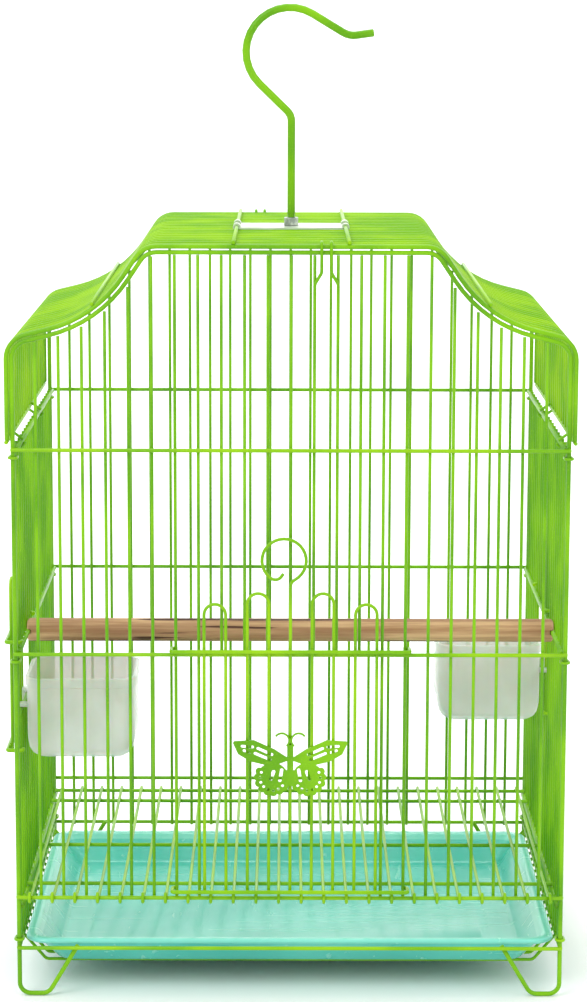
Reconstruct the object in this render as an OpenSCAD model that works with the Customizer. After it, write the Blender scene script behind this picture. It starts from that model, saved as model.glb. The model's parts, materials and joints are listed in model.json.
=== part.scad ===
// Hanging wire bird cage with a shaped roof, a lift-up front door, two feeder doors with
// hanging cups, a perch, a hooked floor grille, a plastic tray and a swivelling hook.
// +X is to the right, the front door faces -Y, +Z is up. The feet stand on z = 0.

/* [Cage body] */
// Width between the corner posts' centres
cage_w = 300; // [250:5:400]
// Depth between the front and back bars' centres
cage_d = 250; // [210:5:350]
// Spacing aimed at between neighbouring bars
bar_gap = 12.5; // [11:0.5:14]
// Height of the bottom rails above the floor
foot_h = 28; // [22:1:40]
// Height from the bottom rail to the rail over the tray slot
slot_h = 29; // [26:1:45]
// Height of the front door's opening
door_open_h = 137.5; // [110:1:180]
// Height from the door's opening to the top of the straight walls
upper_h = 112.5; // [90:1:160]

/* [Roof] */
// Width of the roof's flat top
top_flat_w = 155; // [120:1:200]
// Width across the two points where the slopes meet the shoulders
neck_w = 206; // [206:1:230]
// Rise from the straight walls to the shoulders' outer corners
shoulder_rise = 57; // [45:1:70]
// Rise of a shoulder from its outer corner to the neck
shoulder_slope = 11.5; // [8:0.5:16]
// Rise from the neck to the flat top
neck_rise = 38; // [30:1:50]
// Clear gap between the roof and the panels it covers
roof_gap = 0.6; // [0.4:0.1:2]
// Distance of the two top cross wires from the middle
top_wire_x = 31; // [26:1:40]

/* [Wires] */
// Diameter of the bars
bar_d = 1.8; // [1.4:0.1:2.2]
// Diameter of the rails that cross the bars
rail_d = 2.2; // [1.8:0.1:2.6]
// Diameter of the frame wires round each panel
frame_d = 2.5; // [2.2:0.1:3.2]
// Diameter of the clip rings at the corners
clip_d = 1.6; // [1.2:0.1:1.8]
// How far one welded wire sinks into the wire it crosses
weld = 0.05; // [0.02:0.01:0.06]
// Clear gap round a wire that slides on another
slide_gap = 0.35; // [0.3:0.05:0.6]

/* [Front door] */
// Spaces between bars that the front door covers
door_spaces = 10; // [8:2:12]
// Spacing of the door's own bars
door_pitch = 11.75; // [10:0.25:12]
// Height of the inner arches above the door's top rail
inner_arch_h = 32; // [24:1:45]
// Height of the outer arches above the door's top rail
outer_arch_h = 26; // [20:1:40]
// Outer width of the ring handle, measured to the wire's centre
ring_d = 24; // [18:1:28]
// Width of the flat ornament
ornament_w = 62.5; // [45:0.5:70]
// Thickness of the flat ornament
ornament_t = 1; // [0.6:0.1:1.5]

/* [Feeders] */
// Spaces between bars in a feeder opening
feeder_spaces = 6; // [6:1:7]
// Spaces from the front corner to the left feeder opening
left_feeder_start = 1; // [1:1:3]
// Spaces from the front corner to the right feeder opening
right_feeder_start = 8; // [6:1:9]
// Height of a feeder opening
feeder_open_h = 38; // [34:1:50]
// Height of a cup
cup_h = 45; // [38:1:50]
// Depth of a cup, from the cage wall inwards
cup_x = 60; // [45:1:70]
// Width of a cup along the cage wall
cup_y = 58; // [45:1:62]
// Wall of a cup
cup_wall = 1.4; // [1:0.1:2.5]
// How far a cup's rim stands above the sill that carries it
cup_rise = 19; // [14:1:22]

/* [Perch, tray and grille] */
// Diameter of the perch
perch_d = 13; // [10:0.5:18]
// Distance of the perch from the front bars
perch_y = 63; // [50:1:90]
// Depth of the tray from front to back
tray_d = 218; // [180:1:300]
// Height of the tray
tray_h = 17.5; // [14:0.5:22]
// How far the tray's walls slope inwards on the way down
tray_slope = 13; // [8:0.5:16]
// Wall of the tray
tray_wall = 1.8; // [1.2:0.1:3]
// Width of the tray's rolled rim
tray_rim = 5; // [3:0.5:8]

/* [Hook] */
// Diameter of the hook's rod
hook_d = 4.5; // [3.5:0.1:6]
// Radius of the hook's big bend
hook_r = 25; // [20:1:35]
// Straight length of the rod above its plate
rod_h = 59.5; // [45:1:90]
// Width of the plate that carries the hook
plate_y = 38; // [28:1:50]
// Thickness of the plate
plate_t = 1; // [0.8:0.1:2]
// Width across the nuts' flats
nut_w = 8; // [7:0.5:10]
// Height of a nut
nut_h = 4.5; // [3:0.5:6]

/* [Hidden] */
$fn = 32;
green = [0.49, 0.76, 0.10];
lime = [0.62, 0.88, 0.16];

// Heights of the rails above the floor
z_base = foot_h;
z_slot = z_base + slot_h;
z_mid = z_slot + door_open_h;
z_top = z_mid + upper_h;

// Even numbers of spaces keep a bar in the middle of every panel
spaces_x = 2 * round(cage_w / (2 * bar_gap));
spaces_y = 2 * round(cage_d / (2 * bar_gap));
pitch_x = cage_w / spaces_x;
pitch_y = cage_d / spaces_y;
half_w = cage_w / 2;
half_d = cage_d / 2;
door_half = door_spaces / 2 * pitch_x;

// Distance between the centres of two wires welded across each other
bar_on_rail = (bar_d + rail_d) / 2 - weld;
// A frame wire moves in by this much, so that its outer side is level with the bars
flush = (frame_d - bar_d) / 2;
panel_y = half_d - flush;
front_rail_y = -half_d - bar_on_rail;
side_rail_x = half_w - bar_on_rail;
side_post_y = panel_y - frame_d / 2 - rail_d / 2 - 1.3;
steep = atan2(neck_rise, (neck_w - top_flat_w) / 2);
gentle = atan2(shoulder_slope, half_w - neck_w / 2);

// The right half of a panel's outline moved out by e: [x, z, bend radius]
function outline(e) =
    let (z_sh = z_top + shoulder_rise,
         z_neck = z_sh + shoulder_slope,
         tight = 10,
         wide = 72,
         miter = [sin(gentle) + sin(steep), cos(gentle) + cos(steep)]
                 / (1 + cos(steep - gentle)))
    [[top_flat_w / 2 + e * tan(steep / 2), z_neck + neck_rise + e, tight + e],
     [neck_w / 2 + e * miter[0], z_neck + e * miter[1], wide - e],
     [half_w + e, z_sh + e * (1 - sin(gentle)) / cos(gentle), tight + e]];
function mirrored(p) = [for (i = [len(p) - 1 : -1 : 0]) [-p[i][0], p[i][1], p[i][2]]];
function arch(e) = concat(mirrored(outline(e)), outline(e));

// Height of the outline moved out by e, above a point x on the right half
function outline_z(x, e) =
    let (p = outline(e),
         set1 = p[1][2] * tan((steep - gentle) / 2),
         x_low = p[1][0] + set1 * cos(gentle),
         x_high = p[1][0] - set1 * cos(steep),
         cx = x_low + p[1][2] * sin(gentle),
         cz = p[1][1] - set1 * sin(gentle) + p[1][2] * cos(gentle),
         set2 = p[0][2] * tan(steep / 2),
         bend_x = p[0][0] - set2,
         bend_end = p[0][0] + set2 * cos(steep))
    x <= bend_x ? p[0][1] :
    x <= bend_end ? p[0][1] - p[0][2] + sqrt(pow(p[0][2], 2) - pow(x - bend_x, 2)) :
    x <= x_high ? p[0][1] - (x - p[0][0]) * tan(steep) :
    x <= x_low ? cz - sqrt(pow(p[1][2], 2) - pow(x - cx, 2)) :
    p[1][1] - (x - p[1][0]) * tan(gentle);

// A straight round wire from a to b
module wire(a, b, d) {
    v = b - a;
    translate(a)
        rotate([0, acos(v[2] / norm(v)), atan2(v[1], v[0])])
            cylinder(d = d, h = norm(v));
}

// Where a bent wire has got to after one step of [straight length, bend radius, turn]
function after(at, s) =
    let (h = at[2],
         side = sign(s[2]),
         x = at[0] + s[0] * cos(h),
         y = at[1] + s[0] * sin(h),
         h2 = h + s[2])
    [x + side * s[1] * (sin(h2) - sin(h)), y - side * s[1] * (cos(h2) - cos(h)), h2];
function stations(steps, at, i = 0) =
    i == len(steps) ? [at] : concat([at], stations(steps, after(at, steps[i]), i + 1));

// A wire bent in the XY plane, as a forming machine makes it, from [x, y, heading]. Each
// straight stops a hair short of its bends, so that every length is a simple solid
seam = 0.02;
module bent_wire(steps, start, d) {
    at = stations(steps, start);
    for (i = [0 : len(steps) - 1]) {
        h = at[i][2];
        length = steps[i][0];
        r = steps[i][1];
        turn = steps[i][2];
        side = sign(turn);
        before = i == 0 ? 0 : seam;
        later = turn == 0 ? 0 : seam;
        translate([at[i][0] + before * cos(h), at[i][1] + before * sin(h), 0])
            rotate([0, 90, h]) cylinder(d = d, h = length - before - later);
        if (turn != 0)
            translate([at[i][0] + length * cos(h) - side * r * sin(h),
                       at[i][1] + length * sin(h) + side * r * cos(h), 0])
                rotate([0, 0, h - side * 90 + min(turn, 0)])
                    rotate_extrude(angle = abs(turn)) translate([r, 0]) circle(d = d);
    }
}

// Steps for a wire through corner points [x, y, bend radius]
function heading(a, b) = atan2(b[1] - a[1], b[0] - a[0]);
function turn_at(p, i) =
    let (t = heading(p[i], p[i + 1]) - heading(p[i - 1], p[i]))
    t > 180 ? t - 360 : t <= -180 ? t + 360 : t;
function setback(p, i) =
    i == 0 || i == len(p) - 1 ? 0 : p[i][2] * tan(abs(turn_at(p, i)) / 2);
function gap(a, b) = norm([b[0] - a[0], b[1] - a[1]]);
function steps_through(p) =
    [for (i = [0 : len(p) - 2])
        [gap(p[i], p[i + 1]) - setback(p, i) - setback(p, i + 1),
         p[i + 1][2],
         i == len(p) - 2 ? 0 : turn_at(p, i + 1)]];
module wire_through(p, d)
    bent_wire(steps_through(p), [p[0][0], p[0][1], heading(p[0], p[1])], d);

// Stands a shape drawn in the XY plane up in the XZ plane at a given y
module upright(y) translate([0, y, 0]) rotate([90, 0, 0]) children();

// Left foot of a panel, from its free end between two bars to the corner post:
// [x, z, bend radius]
foot_bend = 6;
foot_z = frame_d / 2;
function foot() =
    [[-half_w + 2.6 * pitch_x, z_base + 1, 0], [-half_w + 16, foot_z, foot_bend],
     [-half_w, foot_z, foot_bend]];

// One wire makes a panel's feet, corner posts and shaped top
module panel_frame(y)
    color(green) upright(y)
        wire_through(concat(foot(), arch(0), mirrored(foot())), frame_d);
module front_frame() panel_frame(-panel_y);
module back_frame() panel_frame(panel_y);

// Straight rails across a panel
rail_half = half_w + 1;
module x_rail(y, z) wire([-rail_half, y, z], [rail_half, y, z], rail_d);
module front_rails()
    color(lime) for (z = [z_base, z_slot, z_mid, z_top]) x_rail(front_rail_y, z);
module back_rails()
    color(green) for (z = [z_base, z_slot, z_mid, z_top]) x_rail(-front_rail_y, z);

// Upright bars that end just under the shaped top
module panel_bars(y, z_low, door_low)
    for (i = [1 : spaces_x - 1]) {
        x = (i - spaces_x / 2) * pitch_x;
        slope = outline_z(abs(x) - bar_d / 2, -frame_d / 2)
                - outline_z(abs(x) + bar_d / 2, -frame_d / 2);
        low = abs(x) < door_half - 1.5 * pitch_x ? door_low : z_low;
        wire([x, y, low], [x, y, outline_z(abs(x), -frame_d / 2) - slope / 2 - 0.1], bar_d);
    }
module front_bars() color(green) panel_bars(-half_d, z_slot - rail_d / 2, z_mid - rail_d / 2);
module back_bars() color(green) panel_bars(half_d, z_base - rail_d / 2, z_base - rail_d / 2);

grille_hook_r = (rail_d + bar_d) / 2 + slide_gap;

// Side panels. The feeder opening lies between the sill and the middle rail
sill_z = z_mid - feeder_open_h;
function feeder_y(start) = -half_d + (start + feeder_spaces / 2) * pitch_y;
feeder_half = feeder_spaces / 2 * pitch_y;
// The rail that carries the floor grille's ends
ledge_z = z_slot - grille_hook_r - bar_on_rail - rail_d - 0.3;

module side_rails(side, start) {
    end = side_post_y + 1;
    post_face = panel_y - frame_d / 2 + weld;
    sill_end = feeder_half - bar_d / 2 + weld;
    for (z = [ledge_z, z_mid, z_top])
        wire([side * side_rail_x, -end, z], [side * side_rail_x, end, z], rail_d);
    wire([side * half_w, -post_face, z_base], [side * half_w, post_face, z_base], rail_d);
    wire([side * half_w, feeder_y(start) - sill_end, sill_z],
         [side * half_w, feeder_y(start) + sill_end, sill_z], bar_d);
}
module side_bars(side, start) {
    x = side * half_w;
    low = z_base + rail_d / 2 - weld;
    high = z_top + rail_d / 2;
    for (y = [-side_post_y, side_post_y]) wire([x, y, low], [x, y, high], rail_d);
    for (i = [1 : spaces_y - 1]) {
        y = -half_d + i * pitch_y;
        if (i > start && i < start + feeder_spaces) {
            wire([x, y, low], [x, y, sill_z - bar_d / 2 + weld], bar_d);
            wire([x, y, z_mid - rail_d / 2], [x, y, high], bar_d);
        } else {
            wire([x, y, low], [x, y, high], bar_d);
        }
    }
}
module left_side_rails() color(green) side_rails(-1, left_feeder_start);
module left_side_bars() color(green) side_bars(-1, left_feeder_start);
module right_side_rails() color(green) side_rails(1, right_feeder_start);
module right_side_bars() color(green) side_bars(1, right_feeder_start);

// Tray sizes, which the wires under it follow
tray_gap = 0.3;
tray_half = half_w - rail_d / 2 - 1.65;
tray_front = -panel_y + frame_d / 2 + 0.9;
tray_z = z_base + 3.5 - tray_h;
tray_y = tray_front + tray_d / 2;

// Dished wires under the tray, welded below the side panels' bottom rails
module base_wires() {
    low = tray_z - tray_gap - bar_d / 2;
    flat = tray_half - tray_slope + 3;
    rise = [half_w - flat, z_base - low] / norm([half_w - flat, z_base - low]);
    end_x = half_w - rise[0] * (rail_d / 2 - weld);
    end_z = z_base - rise[1] * (rail_d / 2 - weld);
    color(green) for (i = [2 : spaces_y - 1])
        upright(-half_d + i * pitch_y)
            wire_through([[-end_x, end_z, 0], [-flat, low, 4], [flat, low, 4],
                          [end_x, end_z, 0]], bar_d);
}

// Roof: frames at the front and back, bars between them, cross wires on top
roof_e = frame_d + roof_gap;
roof_bar_e = roof_e + flush;
skirt_z = z_top + rail_d + 1.7;
module roof_wire(y, e, d) {
    x = outline(e)[2][0];
    end_z = skirt_z + rail_d / 2 - weld;
    color(green) upright(y)
        wire_through(concat([[-x, end_z, 0]], arch(e), [[x, end_z, 0]]), d);
}
module roof_frame() for (y = [-panel_y, panel_y]) roof_wire(y, roof_e, frame_d);
// The bars keep half a space off the middle, so that the hook's rod passes between two
roof_spaces = spaces_y - 1;
module roof_bars()
    for (i = [0 : roof_spaces]) roof_wire(-half_d + (i + 0.5) * pitch_y, roof_bar_e, bar_d);
module roof_cross_wires() {
    y = panel_y + frame_d / 2;
    p = outline(roof_bar_e);
    shoulder_x = p[1][0] + 0.6;
    lean = (steep + gentle) / 2;
    color(lime) for (side = [-1, 1]) {
        wire([side * top_wire_x, -y, p[0][1] + bar_on_rail],
             [side * top_wire_x, y, p[0][1] + bar_on_rail], rail_d);
        wire([side * (shoulder_x + bar_on_rail * sin(lean)), -y,
              outline_z(shoulder_x, roof_bar_e) + bar_on_rail * cos(lean)],
             [side * (shoulder_x + bar_on_rail * sin(lean)), y,
              outline_z(shoulder_x, roof_bar_e) + bar_on_rail * cos(lean)], rail_d);
        wire([side * p[2][0], -y, skirt_z], [side * p[2][0], y, skirt_z], rail_d);
    }
}

// Latches made from two bent wires that hook over the roof's frame, front and back
module roof_latch(x, y, out) {
    top = outline(roof_e)[0][1] + frame_d / 2 + bar_d / 2 + 0.1;
    low = top - 50;
    bend_z = top - 16;
    for (side = [-1, 1])
        translate([x, y, 0]) mirror([side < 0 ? 1 : 0, 0, 0]) mirror([0, out > 0 ? 1 : 0, 0]) {
            upright(0)
                wire_through([[pitch_x / 2, low, 0], [pitch_x / 2, bend_z - 6, 4],
                              [2.6, bend_z, 4], [2.6, bend_z + 6, 0]], bar_d);
            translate([2.6, 0, 0]) rotate([90, 0, 90])
                wire_through([[0, bend_z + 5, 0], [0, top, 1.5], [6.5, top, 1.5],
                              [6.5, top - 4, 0]], bar_d - 0.04);
        }
}
latch_y = panel_y + frame_d / 2 + bar_d / 2 + 0.2;
front_latch_x = 1.5 * pitch_x;
back_latch_x = -1.5 * pitch_x;
module roof_clips()
    color(green) {
        roof_latch(front_latch_x, -latch_y, -1);
        roof_latch(back_latch_x, latch_y, 1);
    }

// Rings that tie the roof's lower edge to the side panels' top rails
module side_clips() {
    r = rail_d / 2 + clip_d / 2 + 0.1;
    x = outline(roof_bar_e)[2][0];
    angle = atan2(skirt_z - z_top, x - side_rail_x);
    reach = norm([skirt_z - z_top, x - side_rail_x]);
    color(green) for (side = [0, 1], i = [2.25, spaces_y / 2 + 1.75])
        mirror([side, 0, 0]) upright(-half_d + i * pitch_y)
            translate([side_rail_x, z_top, 0]) rotate([0, 0, angle])
                bent_wire([[reach, r, -180], [reach, r, -130]], [0, r, 0], clip_d);
}

// Rings that tie a side panel's end post to a corner post
ring_r = frame_d / 2 + clip_d / 2 + 0.05;
module corner_ring(z) {
    reach = panel_y - side_post_y;
    translate([half_w, side_post_y, z])
        bent_wire([[reach, ring_r, 180], [reach, ring_r, 150]], [ring_r, 0, 90], clip_d);
}
module corner_clips()
    color(lime) for (sx = [0, 1], sy = [0, 1], z = [z_base + 4.5, z_mid - 4.5, z_top - 4.5])
        mirror([sx, 0, 0]) mirror([0, sy, 0]) corner_ring(z);

// Front door: bars just clear of the front rails, with its own rails in front of them
door_bar_y = front_rail_y - rail_d / 2 - slide_gap - bar_d / 2;
door_rail_y = door_bar_y - bar_on_rail;
door_low_z = z_slot + rail_d + slide_gap + 2;
door_high_z = z_mid + rail_d + slide_gap;

// A rail whose ends curl round the bars at guide_x, seen from above with the bars at y = 0
module guide_rail(guide_x, rail_y) {
    hook_r = rail_d / 2 + slide_gap;
    reach = bar_d / 2 + slide_gap + rail_d / 2;
    wire_through([[bar_d / 2 - guide_x, reach, 0], [-guide_x - reach, reach, hook_r],
                  [-guide_x - reach, rail_y, hook_r], [guide_x + reach, rail_y, hook_r],
                  [guide_x + reach, reach, hook_r], [guide_x - bar_d / 2, reach, 0]], rail_d);
}
module front_door_rails()
    color(lime) for (z = [door_low_z, door_high_z])
        translate([0, -half_d, z]) guide_rail(door_half, door_rail_y + half_d);

// A wire bent into an upside-down U over two bars
module u_bar(x1, x2, low, high) {
    r = (x2 - x1) / 2;
    bent_wire([[high - r - low, r, -180], [high - r - low, 0, 0]], [x1, low, 90], bar_d);
}
door_foot = door_low_z - rail_d / 2;
module front_door_bars()
    color(lime) upright(door_bar_y) for (side = [0, 1]) mirror([side, 0, 0]) {
        u_bar(door_pitch, 2 * door_pitch, door_foot, door_high_z + inner_arch_h);
        u_bar(3 * door_pitch, 4 * door_pitch, door_foot, door_high_z + outer_arch_h);
    }

// Centre bar whose top is bent round into a ring to lift the door by
module front_door_handle() {
    r = ring_d / 2;
    lift = 48;
    color(lime) upright(door_bar_y)
        bent_wire([[door_high_z + lift - r - door_foot, 4, -60], [0.5, r, 290], [0.5, 4, 95],
                   [2, 0, 0]], [0, door_foot, 90], bar_d);
}

// Flat butterfly, drawn as half an outline and mirrored. A patch is a polygon with round
// edges of diameter d
module patch(p, d) {
    polygon(p);
    for (i = [0 : len(p) - 1]) {
        a = p[i];
        b = p[(i + 1) % len(p)];
        translate(a) circle(d = d);
        translate(a) rotate([0, 0, heading(a, b)]) translate([0, -d / 2]) square([gap(a, b), d]);
    }
}
module slot(a, b, d) patch([a, b], d);
module wing() {
    low = [9.5, -7.5];
    difference() {
        union() {
            patch([[2, 3], [9, 7.6], [20, 12.6], [30, 12], [27.5, 6.5], [21, 2.6], [10, 0]], 2);
            translate(low) circle(d = 17);
            for (a = [-165 : 24 : 40])
                translate(low + 8.2 * [cos(a), sin(a)]) circle(d = 4);
        }
        for (a = [-141 : 24 : 40]) translate(low + 6.9 * [cos(a), sin(a)]) circle(d = 1.6);
        slot([10, 5.6], [17.5, 9], 1.7);
        slot([20.5, 9.8], [26, 10.2], 1.7);
        slot([11, 2.8], [19, 6.2], 1.7);
        slot([22, 6.8], [25, 7.8], 1.6);
        slot([4.6, -3], [5.6, -9], 1.8);
        slot([9, -4], [10.5, -8], 2);
    }
}
module butterfly()
    for (side = [0, 1])
        mirror([side, 0]) {
            wing();
            translate([-1.7, -12]) square([3.4, 23]);
            translate([4.6, 13.4]) difference() {
                circle(d = 9);
                circle(d = 7);
                rotate([0, 0, 222]) translate([-6, 0.5]) square([12, 6]);
            }
        }
ornament_z = z_slot + 77;
module front_door_ornament()
    color(green) translate([0, door_bar_y - bar_d / 2 + weld / 2, ornament_z])
        rotate([90, 0, 0]) scale(ornament_w / 62)
            linear_extrude(height = ornament_t * 62 / ornament_w)
                offset(r = -0.3) offset(delta = 0.3) butterfly($fn = 24);

// Gap and thickness of the hooks that a cup hangs by
cup_gap = 0.3;
cup_hook_t = 1.5;

// Feeder doors, drawn as if the side panel lay along X and then turned into place
feeder_bar_x = bar_d + cup_gap + cup_hook_t + 0.5;
feeder_low_z = sill_z - 19;
feeder_high_z = z_mid + rail_d + slide_gap + 1.5;
feeder_arch_h = 40;
module on_side(side, start)
    translate([side * half_w, feeder_y(start), 0]) rotate([0, 0, side * 90]) children();
module feeder_door_rails(side, start)
    color(lime) on_side(side, start)
        for (z = [feeder_low_z, feeder_high_z])
            translate([0, 0, z]) guide_rail(feeder_half, -feeder_bar_x - bar_on_rail);
module feeder_door_bars(side, start) {
    step = (2 * feeder_half - 13) / 5;
    low = feeder_low_z - rail_d / 2;
    high = feeder_high_z + feeder_arch_h;
    color(lime) on_side(side, start) upright(-feeder_bar_x)
        for (i = [-1 : 1])
            u_bar((2 * i - 0.5) * step, (2 * i + 0.5) * step, low, high - abs(i) * 7);
}
module left_feeder_door_rails() feeder_door_rails(-1, left_feeder_start);
module left_feeder_door_bars() feeder_door_bars(-1, left_feeder_start);
module right_feeder_door_rails() feeder_door_rails(1, right_feeder_start);
module right_feeder_door_bars() feeder_door_bars(1, right_feeder_start);

// Cups hang on the sill wire by two hooks on their outer wall
module rounded(x, y, r) {
    square([x - 2 * r, y], center = true);
    square([x, y - 2 * r], center = true);
    for (sx = [-1, 1], sy = [-1, 1])
        translate([sx * (x / 2 - r), sy * (y / 2 - r)]) circle(r = r);
}
cup_low_r = 12;
module cup_solid(x, y, h, r, low_r)
    intersection() {
        linear_extrude(height = h) rounded(x, y, r);
        rotate([90, 0, 0]) translate([0, h, -y / 2]) linear_extrude(height = y)
            rounded(x, 2 * h, low_r);
    }
cup_top_z = sill_z + cup_rise;
module cup(side, start) {
    outer = side_rail_x - rail_d / 2 - 0.4;
    hook_y = 1.5 * pitch_y;
    lip_x = half_w + bar_d / 2 + cup_gap + cup_hook_t - outer;
    arm_z = sill_z + bar_d / 2 + cup_gap;
    color([0.86, 0.90, 0.88])
        translate([side * (outer - cup_x / 2), feeder_y(start), cup_top_z - cup_h])
            mirror([side < 0 ? 1 : 0, 0, 0]) {
                difference() {
                    union() {
                        cup_solid(cup_x, cup_y, cup_h, 9, cup_low_r);
                        translate([0, 0, cup_h - 5]) linear_extrude(height = 5)
                            rounded(cup_x + 2, cup_y + 2, 10);
                    }
                    translate([0, 0, cup_wall])
                        cup_solid(cup_x - 2 * cup_wall, cup_y - 2 * cup_wall, cup_h + 1,
                                  9 - cup_wall, cup_low_r - cup_wall);
                }
                for (s = [-1, 1])
                    translate([cup_x / 2 - 0.7, s * hook_y - 3, arm_z - cup_top_z + cup_h]) {
                        cube([lip_x + 0.7, 6, 2]);
                        translate([lip_x + 0.7 - cup_hook_t, 0, -5]) cube([cup_hook_t, 6, 6]);
                    }
            }
}
module left_cup() cup(-1, left_feeder_start);
module right_cup() cup(1, right_feeder_start);

// Perch with a slot in each end that slips over the side panels' middle rails
module perch() {
    half = half_w - bar_d / 2 - 0.3;
    chamfer = 1.2;
    slot = rail_d + 0.3;
    color([0.76, 0.60, 0.42])
        difference() {
            translate([0, -half_d + perch_y, z_mid]) rotate([0, 90, 0]) {
                cylinder(d = perch_d, h = 2 * (half - chamfer), center = true);
                for (s = [0, 1])
                    mirror([0, 0, s]) translate([0, 0, half - chamfer])
                        cylinder(d1 = perch_d, d2 = perch_d - 2 * chamfer, h = chamfer);
            }
            for (s = [-1, 1])
                translate([s * (half + side_rail_x - rail_d / 2 - 0.3) / 2,
                           -half_d + perch_y, z_mid])
                    cube([half - side_rail_x + rail_d / 2 + 0.3, perch_d + 1, slot],
                         center = true);
        }
}

// Tray with sloping walls and a rim turned over outwards
module tray_block(inset, low, high) {
    r = 9;
    lift = (low - tray_z) / tray_h;
    slope = (1 - lift) * tray_slope + inset;
    hull() {
        translate([0, tray_y, low]) linear_extrude(height = 0.2)
            rounded(2 * (tray_half - slope), tray_d - 2 * slope, r - min(inset, 3));
        translate([0, tray_y, high]) linear_extrude(height = 0.2)
            rounded(2 * (tray_half - inset), tray_d - 2 * inset, r - min(inset, 3));
    }
}
module tray() {
    top = tray_z + tray_h;
    color([0.31, 0.76, 0.70])
        difference() {
            union() {
                tray_block(tray_rim - 1, tray_z, top - 0.2);
                translate([0, tray_y, top - 2.5]) linear_extrude(height = 2.5)
                    rounded(2 * tray_half, tray_d, 12);
            }
            tray_block(tray_rim - 1 + tray_wall, tray_z + tray_wall, top + 0.1);
        }
}

// Floor grille, hooked over the front rail of the tray slot
grille_back = half_d - 12;
grille_z = z_slot - grille_hook_r;
module floor_grille_wires()
    color(lime) for (i = [0 : spaces_x - 1])
        translate([(i + 0.5 - spaces_x / 2) * pitch_x, 0, 0]) rotate([90, 0, 90])
            bent_wire([[grille_back - front_rail_y, grille_hook_r, -215]],
                      [grille_back, grille_z, 180], bar_d);
module floor_grille_cross_wires() {
    z = grille_z - bar_on_rail;
    half = half_w - bar_d / 2 - 0.4;
    color(green) for (back = [0, 24, 121, 198] * cage_d / 250)
        wire([-half, grille_back - back - 1.2, z], [half, grille_back - back - 1.2, z], rail_d);
}

// Hook, its plate and the two nuts on its threaded end
roof_top_z = outline(roof_bar_e)[0][1];
plate_z = roof_top_z + bar_d / 2 + 0.03;
rod_bottom = plate_z - nut_h - 2.5;
nut_play = 0.1;
module hook_plate() {
    hole = hook_d + 0.5;
    tab_r = rail_d / 2 + 0.1;
    wire_z = roof_top_z + bar_on_rail - plate_z;
    end_x = top_wire_x - tab_r;
    color([0.80, 0.88, 0.76]) translate([0, 0, plate_z])
        difference() {
            union() {
                translate([-end_x, -plate_y / 2, 0]) cube([2 * end_x, plate_y, plate_t]);
                for (sx = [-1, 1], sy = [-1, 1])
                    translate([sx * top_wire_x, sy * plate_y / 3 + 4, wire_z])
                        rotate([90, 0, 0]) difference() {
                            cylinder(r = tab_r + plate_t, h = 8);
                            translate([-5, -10, -1]) cube([10, 10 - wire_z + 0.02, 10]);
                        }
            }
            translate([0, 0, -1]) cylinder(d = hole, h = plate_t + 2);
            for (sx = [-1, 1])
                translate([sx * top_wire_x, 0, wire_z]) rotate([90, 0, 0])
                    cylinder(r = tab_r, h = plate_y + 2, center = true);
        }
}
module hook()
    color(green) upright(0)
        bent_wire([[plate_z + plate_t - rod_bottom + rod_h, 8, 46],
                   [22 * hook_r / 25, hook_r, -167], [20, 12, 39], [10, 0, 0]],
                  [0, rod_bottom, 90], hook_d);
module nut(z)
    color([0.62, 0.70, 0.66]) translate([0, 0, z]) difference() {
        cylinder(d = nut_w / cos(30), h = nut_h, $fn = 6);
        translate([0, 0, -1]) cylinder(d = hook_d - 0.1, h = nut_h + 2);
    }
module upper_nut() nut(plate_z + plate_t + nut_play);
module lower_nut() nut(plate_z - nut_h - nut_play);

front_frame();
front_rails();
front_bars();
back_frame();
back_rails();
back_bars();
left_side_rails();
left_side_bars();
right_side_rails();
right_side_bars();
base_wires();
roof_frame();
roof_bars();
roof_cross_wires();
roof_clips();
side_clips();
corner_clips();
front_door_rails();
front_door_bars();
front_door_handle();
front_door_ornament();
left_feeder_door_rails();
left_feeder_door_bars();
right_feeder_door_rails();
right_feeder_door_bars();
left_cup();
right_cup();
perch();
tray();
floor_grille_wires();
floor_grille_cross_wires();
hook_plate();
hook();
upper_nut();
lower_nut();
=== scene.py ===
# %% [markdown]
# # A hanging bird cage
# The real cage is coated steel wire: shaped frames, bars welded to rails, small doors that
# slide on the bars, and moulded plastic for the tray and the cups. The CAD model gives every
# size and how each part moves. This lesson builds what is seen: formed wire with coating
# gathered at the welds, plastic, wood and zinc. Sizes are in millimetres where a wire is
# described and in metres in the scene.

import json
import math

import bmesh
import bpy
from mathutils import Matrix, Vector


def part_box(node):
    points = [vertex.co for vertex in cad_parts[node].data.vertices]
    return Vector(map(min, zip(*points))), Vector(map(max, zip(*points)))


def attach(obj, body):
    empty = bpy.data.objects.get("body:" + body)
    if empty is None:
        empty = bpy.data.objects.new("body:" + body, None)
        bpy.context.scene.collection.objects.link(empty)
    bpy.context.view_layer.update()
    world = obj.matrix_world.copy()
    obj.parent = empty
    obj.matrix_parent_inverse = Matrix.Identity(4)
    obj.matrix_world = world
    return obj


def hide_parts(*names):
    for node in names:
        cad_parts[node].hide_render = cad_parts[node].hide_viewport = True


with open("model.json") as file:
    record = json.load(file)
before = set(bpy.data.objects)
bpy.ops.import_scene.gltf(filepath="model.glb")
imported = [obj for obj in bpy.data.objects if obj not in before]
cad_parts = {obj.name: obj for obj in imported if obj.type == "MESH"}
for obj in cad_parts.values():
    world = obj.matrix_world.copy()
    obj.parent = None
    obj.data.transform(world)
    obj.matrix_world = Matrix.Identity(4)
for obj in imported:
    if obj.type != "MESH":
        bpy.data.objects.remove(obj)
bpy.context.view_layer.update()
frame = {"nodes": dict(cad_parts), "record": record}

# %% [markdown]
# ## Sizes
# The boxes of the CAD parts say where things are, so a change there carries over. Only bend
# radii and the number of spaces have to be named again, because a box doesn't hold them.

# %% Sizes read from the CAD parts
MM = 0.001


def cad(node):
    low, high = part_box(node)
    return [v / MM for v in low], [v / MM for v in high]


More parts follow.
